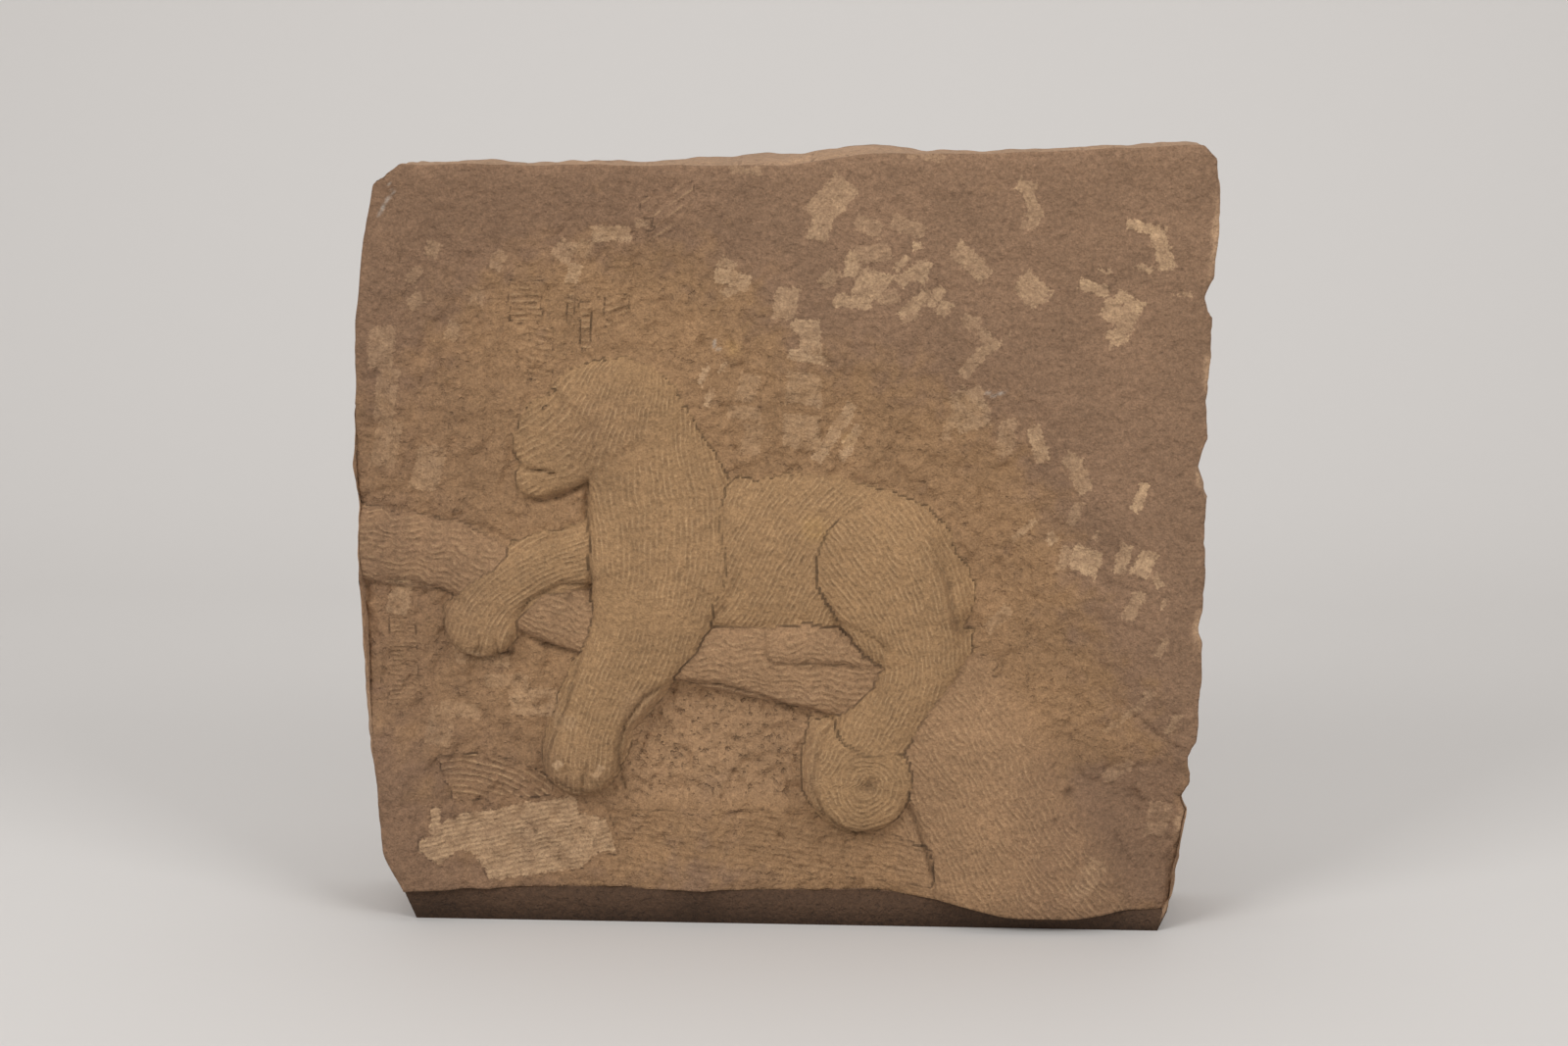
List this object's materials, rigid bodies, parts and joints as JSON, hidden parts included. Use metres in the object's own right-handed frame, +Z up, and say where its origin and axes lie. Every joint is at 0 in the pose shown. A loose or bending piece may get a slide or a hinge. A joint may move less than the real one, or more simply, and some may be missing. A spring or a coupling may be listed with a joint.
{
  "type": "relief panel",
  "caption": "Rough sandstone block with a big cat lying on a tree branch, carved in low relief on its front face.",
  "frame": {"origin": "middle of the underside: centre of the bounding box in X and Y, at the height of the flat that the block stands on", "axes": "+X to the right of the carved face, -Y out of the carved face, +Z up"},
  "size_m": [0.4496, 0.078, 0.4184],
  "materials": {
    "sandstone": "weathered brown sandstone with fresh-cut marks, matt"
  },
  "bodies": {
    "root": {"relief_panel": "sandstone"}
  },
  "joints": []
}
